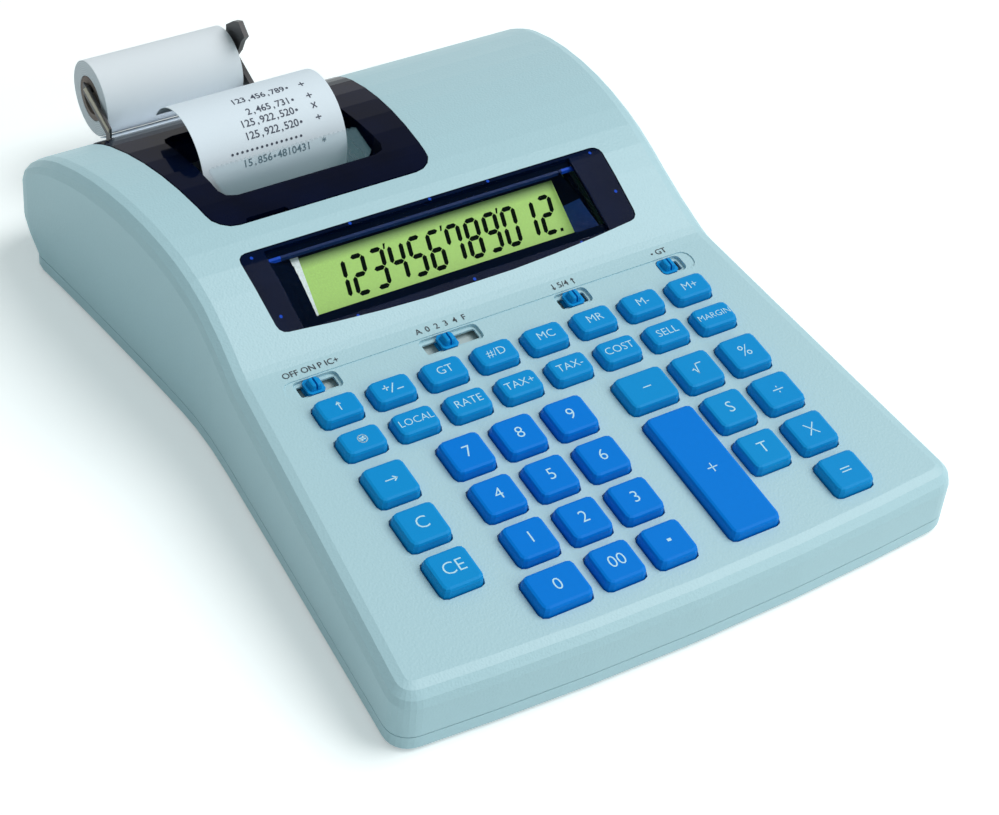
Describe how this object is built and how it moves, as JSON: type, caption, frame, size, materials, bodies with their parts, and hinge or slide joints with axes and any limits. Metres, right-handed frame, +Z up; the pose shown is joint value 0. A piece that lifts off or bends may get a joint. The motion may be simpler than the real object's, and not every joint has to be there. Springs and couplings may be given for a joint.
{
  "type": "printing calculator",
  "caption": "Desktop printing calculator with a waisted housing, sloping keyboard, smoked display window, hinged printer cover and a paper roll behind it.",
  "frame": {"origin": "centre of the bounding box's bottom face, on the table under the feet", "axes": "+X to the operator's right, +Y from the operator to the paper roll, +Z up"},
  "size_m": [0.2188, 0.3292, 0.0726],
  "materials": {
    "housing": "fine leather grain",
    "function_key": "satin",
    "number_key": "satin",
    "smoke": "smoked translucent gloss",
    "clear": "clear gloss",
    "lcd": "grey-green liquid crystal panel",
    "paper": "matte paper",
    "core": "grey board",
    "rubber": "matt",
    "frame": "matt",
    "holder": "satin",
    "board": "solder mask"
  },
  "bodies": {
    "housing": {"bottom_shell": "housing", "display_window": "smoke", "front_foot": "rubber", "key_mat": "rubber", "lcd_panel": "lcd", "main_board": "board", "paper_strip": "paper", "printer_frame": "frame", "rear_foot": "rubber", "roll_holder": "holder", "top_shell": "housing"},
    "key_0": {"key_0": "number_key"},
    "key_00": {"key_00": "number_key"},
    "key_1": {"key_1": "number_key"},
    "key_2": {"key_2": "number_key"},
    "key_3": {"key_3": "number_key"},
    "key_4": {"key_4": "number_key"},
    "key_5": {"key_5": "number_key"},
    "key_6": {"key_6": "number_key"},
    "key_7": {"key_7": "number_key"},
    "key_8": {"key_8": "number_key"},
    "key_9": {"key_9": "number_key"},
    "key_clear": {"key_clear": "function_key"},
    "key_clear_entry": {"key_clear_entry": "function_key"},
    "key_cost": {"key_cost": "function_key"},
    "key_divide": {"key_divide": "function_key"},
    "key_equals": {"key_equals": "function_key"},
    "key_exchange": {"key_exchange": "function_key"},
    "key_feed": {"key_feed": "function_key"},
    "key_grand_total": {"key_grand_total": "function_key"},
    "key_item": {"key_item": "function_key"},
    "key_local": {"key_local": "function_key"},
    "key_margin": {"key_margin": "function_key"},
    "key_memory_clear": {"key_memory_clear": "function_key"},
    "key_memory_minus": {"key_memory_minus": "function_key"},
    "key_memory_plus": {"key_memory_plus": "function_key"},
    "key_memory_recall": {"key_memory_recall": "function_key"},
    "key_minus": {"key_minus": "function_key"},
    "key_multiply": {"key_multiply": "function_key"},
    "key_percent": {"key_percent": "function_key"},
    "key_plus": {"key_plus": "number_key"},
    "key_point": {"key_point": "number_key"},
    "key_rate": {"key_rate": "function_key"},
    "key_right_shift": {"key_right_shift": "function_key"},
    "key_sell": {"key_sell": "function_key"},
    "key_sign": {"key_sign": "function_key"},
    "key_square_root": {"key_square_root": "function_key"},
    "key_subtotal": {"key_subtotal": "function_key"},
    "key_tax_minus": {"key_tax_minus": "function_key"},
    "key_tax_plus": {"key_tax_plus": "function_key"},
    "key_total": {"key_total": "function_key"},
    "slider_decimal": {"slider_decimal": "function_key"},
    "slider_power": {"slider_power": "function_key"},
    "slider_rounding": {"slider_rounding": "function_key"},
    "slider_total": {"slider_total": "function_key"},
    "cover": {"printer_cover": "smoke", "tear_bar": "clear"},
    "platen": {"platen_roller": "rubber"},
    "roll": {"paper_roll": "paper", "paper_core": "core"}
  },
  "joints": [
    {"name": "key_0_press", "type": "slide", "parent": "housing", "child": "key_0", "axis": [0, 0.1305, -0.9914], "range_m": [0, 0.002], "stiffness_N_per_m": 150, "springref_m": -0.002},
    {"name": "key_00_press", "type": "slide", "parent": "housing", "child": "key_00", "axis": [0, 0.1305, -0.9914], "range_m": [0, 0.002], "stiffness_N_per_m": 150, "springref_m": -0.002},
    {"name": "key_1_press", "type": "slide", "parent": "housing", "child": "key_1", "axis": [0, 0.1305, -0.9914], "range_m": [0, 0.002], "stiffness_N_per_m": 150, "springref_m": -0.002},
    {"name": "key_2_press", "type": "slide", "parent": "housing", "child": "key_2", "axis": [0, 0.1305, -0.9914], "range_m": [0, 0.002], "stiffness_N_per_m": 150, "springref_m": -0.002},
    {"name": "key_3_press", "type": "slide", "parent": "housing", "child": "key_3", "axis": [0, 0.1305, -0.9914], "range_m": [0, 0.002], "stiffness_N_per_m": 150, "springref_m": -0.002},
    {"name": "key_4_press", "type": "slide", "parent": "housing", "child": "key_4", "axis": [0, 0.1305, -0.9914], "range_m": [0, 0.002], "stiffness_N_per_m": 150, "springref_m": -0.002},
    {"name": "key_5_press", "type": "slide", "parent": "housing", "child": "key_5", "axis": [0, 0.1305, -0.9914], "range_m": [0, 0.002], "stiffness_N_per_m": 150, "springref_m": -0.002},
    {"name": "key_6_press", "type": "slide", "parent": "housing", "child": "key_6", "axis": [0, 0.1305, -0.9914], "range_m": [0, 0.002], "stiffness_N_per_m": 150, "springref_m": -0.002},
    {"name": "key_7_press", "type": "slide", "parent": "housing", "child": "key_7", "axis": [0, 0.1305, -0.9914], "range_m": [0, 0.002], "stiffness_N_per_m": 150, "springref_m": -0.002},
    {"name": "key_8_press", "type": "slide", "parent": "housing", "child": "key_8", "axis": [0, 0.1305, -0.9914], "range_m": [0, 0.002], "stiffness_N_per_m": 150, "springref_m": -0.002},
    {"name": "key_9_press", "type": "slide", "parent": "housing", "child": "key_9", "axis": [0, 0.1305, -0.9914], "range_m": [0, 0.002], "stiffness_N_per_m": 150, "springref_m": -0.002},
    {"name": "key_clear_press", "type": "slide", "parent": "housing", "child": "key_clear", "axis": [0, 0.1305, -0.9914], "range_m": [0, 0.002], "stiffness_N_per_m": 150, "springref_m": -0.002},
    {"name": "key_clear_entry_press", "type": "slide", "parent": "housing", "child": "key_clear_entry", "axis": [0, 0.1305, -0.9914], "range_m": [0, 0.002], "stiffness_N_per_m": 150, "springref_m": -0.002},
    {"name": "key_cost_press", "type": "slide", "parent": "housing", "child": "key_cost", "axis": [0, 0.1305, -0.9914], "range_m": [0, 0.002], "stiffness_N_per_m": 150, "springref_m": -0.002},
    {"name": "key_divide_press", "type": "slide", "parent": "housing", "child": "key_divide", "axis": [0, 0.1305, -0.9914], "range_m": [0, 0.002], "stiffness_N_per_m": 150, "springref_m": -0.002},
    {"name": "key_equals_press", "type": "slide", "parent": "housing", "child": "key_equals", "axis": [0, 0.1305, -0.9914], "range_m": [0, 0.002], "stiffness_N_per_m": 150, "springref_m": -0.002},
    {"name": "key_exchange_press", "type": "slide", "parent": "housing", "child": "key_exchange", "axis": [0, 0.1305, -0.9914], "range_m": [0, 0.002], "stiffness_N_per_m": 150, "springref_m": -0.002},
    {"name": "key_feed_press", "type": "slide", "parent": "housing", "child": "key_feed", "axis": [0, 0.1305, -0.9914], "range_m": [0, 0.002], "stiffness_N_per_m": 150, "springref_m": -0.002},
    {"name": "key_grand_total_press", "type": "slide", "parent": "housing", "child": "key_grand_total", "axis": [0, 0.1305, -0.9914], "range_m": [0, 0.002], "stiffness_N_per_m": 150, "springref_m": -0.002},
    {"name": "key_item_press", "type": "slide", "parent": "housing", "child": "key_item", "axis": [0, 0.1305, -0.9914], "range_m": [0, 0.002], "stiffness_N_per_m": 150, "springref_m": -0.002},
    {"name": "key_local_press", "type": "slide", "parent": "housing", "child": "key_local", "axis": [0, 0.1305, -0.9914], "range_m": [0, 0.002], "stiffness_N_per_m": 150, "springref_m": -0.002},
    {"name": "key_margin_press", "type": "slide", "parent": "housing", "child": "key_margin", "axis": [0, 0.1305, -0.9914], "range_m": [0, 0.002], "stiffness_N_per_m": 150, "springref_m": -0.002},
    {"name": "key_memory_clear_press", "type": "slide", "parent": "housing", "child": "key_memory_clear", "axis": [0, 0.1305, -0.9914], "range_m": [0, 0.002], "stiffness_N_per_m": 150, "springref_m": -0.002},
    {"name": "key_memory_minus_press", "type": "slide", "parent": "housing", "child": "key_memory_minus", "axis": [0, 0.1305, -0.9914], "range_m": [0, 0.002], "stiffness_N_per_m": 150, "springref_m": -0.002},
    {"name": "key_memory_plus_press", "type": "slide", "parent": "housing", "child": "key_memory_plus", "axis": [0, 0.1305, -0.9914], "range_m": [0, 0.002], "stiffness_N_per_m": 150, "springref_m": -0.002},
    {"name": "key_memory_recall_press", "type": "slide", "parent": "housing", "child": "key_memory_recall", "axis": [0, 0.1305, -0.9914], "range_m": [0, 0.002], "stiffness_N_per_m": 150, "springref_m": -0.002},
    {"name": "key_minus_press", "type": "slide", "parent": "housing", "child": "key_minus", "axis": [0, 0.1305, -0.9914], "range_m": [0, 0.002], "stiffness_N_per_m": 150, "springref_m": -0.002},
    {"name": "key_multiply_press", "type": "slide", "parent": "housing", "child": "key_multiply", "axis": [0, 0.1305, -0.9914], "range_m": [0, 0.002], "stiffness_N_per_m": 150, "springref_m": -0.002},
    {"name": "key_percent_press", "type": "slide", "parent": "housing", "child": "key_percent", "axis": [0, 0.1305, -0.9914], "range_m": [0, 0.002], "stiffness_N_per_m": 150, "springref_m": -0.002},
    {"name": "key_plus_press", "type": "slide", "parent": "housing", "child": "key_plus", "axis": [0, 0.1305, -0.9914], "range_m": [0, 0.002], "stiffness_N_per_m": 150, "springref_m": -0.002},
    {"name": "key_point_press", "type": "slide", "parent": "housing", "child": "key_point", "axis": [0, 0.1305, -0.9914], "range_m": [0, 0.002], "stiffness_N_per_m": 150, "springref_m": -0.002},
    {"name": "key_rate_press", "type": "slide", "parent": "housing", "child": "key_rate", "axis": [0, 0.1305, -0.9914], "range_m": [0, 0.002], "stiffness_N_per_m": 150, "springref_m": -0.002},
    {"name": "key_right_shift_press", "type": "slide", "parent": "housing", "child": "key_right_shift", "axis": [0, 0.1305, -0.9914], "range_m": [0, 0.002], "stiffness_N_per_m": 150, "springref_m": -0.002},
    {"name": "key_sell_press", "type": "slide", "parent": "housing", "child": "key_sell", "axis": [0, 0.1305, -0.9914], "range_m": [0, 0.002], "stiffness_N_per_m": 150, "springref_m": -0.002},
    {"name": "key_sign_press", "type": "slide", "parent": "housing", "child": "key_sign", "axis": [0, 0.1305, -0.9914], "range_m": [0, 0.002], "stiffness_N_per_m": 150, "springref_m": -0.002},
    {"name": "key_square_root_press", "type": "slide", "parent": "housing", "child": "key_square_root", "axis": [0, 0.1305, -0.9914], "range_m": [0, 0.002], "stiffness_N_per_m": 150, "springref_m": -0.002},
    {"name": "key_subtotal_press", "type": "slide", "parent": "housing", "child": "key_subtotal", "axis": [0, 0.1305, -0.9914], "range_m": [0, 0.002], "stiffness_N_per_m": 150, "springref_m": -0.002},
    {"name": "key_tax_minus_press", "type": "slide", "parent": "housing", "child": "key_tax_minus", "axis": [0, 0.1305, -0.9914], "range_m": [0, 0.002], "stiffness_N_per_m": 150, "springref_m": -0.002},
    {"name": "key_tax_plus_press", "type": "slide", "parent": "housing", "child": "key_tax_plus", "axis": [0, 0.1305, -0.9914], "range_m": [0, 0.002], "stiffness_N_per_m": 150, "springref_m": -0.002},
    {"name": "key_total_press", "type": "slide", "parent": "housing", "child": "key_total", "axis": [0, 0.1305, -0.9914], "range_m": [0, 0.002], "stiffness_N_per_m": 150, "springref_m": -0.002},
    {"name": "slider_decimal_slide", "type": "slide", "parent": "housing", "child": "slider_decimal", "axis": [1, 0, 0], "range_m": [-0.0064, 0.0096]},
    {"name": "slider_power_slide", "type": "slide", "parent": "housing", "child": "slider_power", "axis": [1, 0, 0], "range_m": [-0.0032, 0.0064]},
    {"name": "slider_rounding_slide", "type": "slide", "parent": "housing", "child": "slider_rounding", "axis": [1, 0, 0], "range_m": [-0.0032, 0.0032]},
    {"name": "slider_total_slide", "type": "slide", "parent": "housing", "child": "slider_total", "axis": [1, 0, 0], "range_m": [0, 0.0032]},
    {"name": "cover_hinge", "type": "hinge", "parent": "housing", "child": "cover", "pos_m": [-0.031, 0.10235, 0.046], "axis": [-1, 0, 0], "range_deg": [0, 60], "deforming": ["paper_strip"]},
    {"name": "platen_turn", "type": "hinge", "parent": "housing", "child": "platen", "pos_m": [-0.034, 0.06318, 0.044], "axis": [1, 0, 0], "continuous": true},
    {"name": "roll_turn", "type": "hinge", "parent": "housing", "child": "roll", "pos_m": [-0.034, 0.14995, 0.0346], "axis": [1, 0, 0], "continuous": true}
  ],
  "couplings": [
    {"joint": "roll_turn", "follows": "platen_turn", "ratio": 0.392}
  ]
}
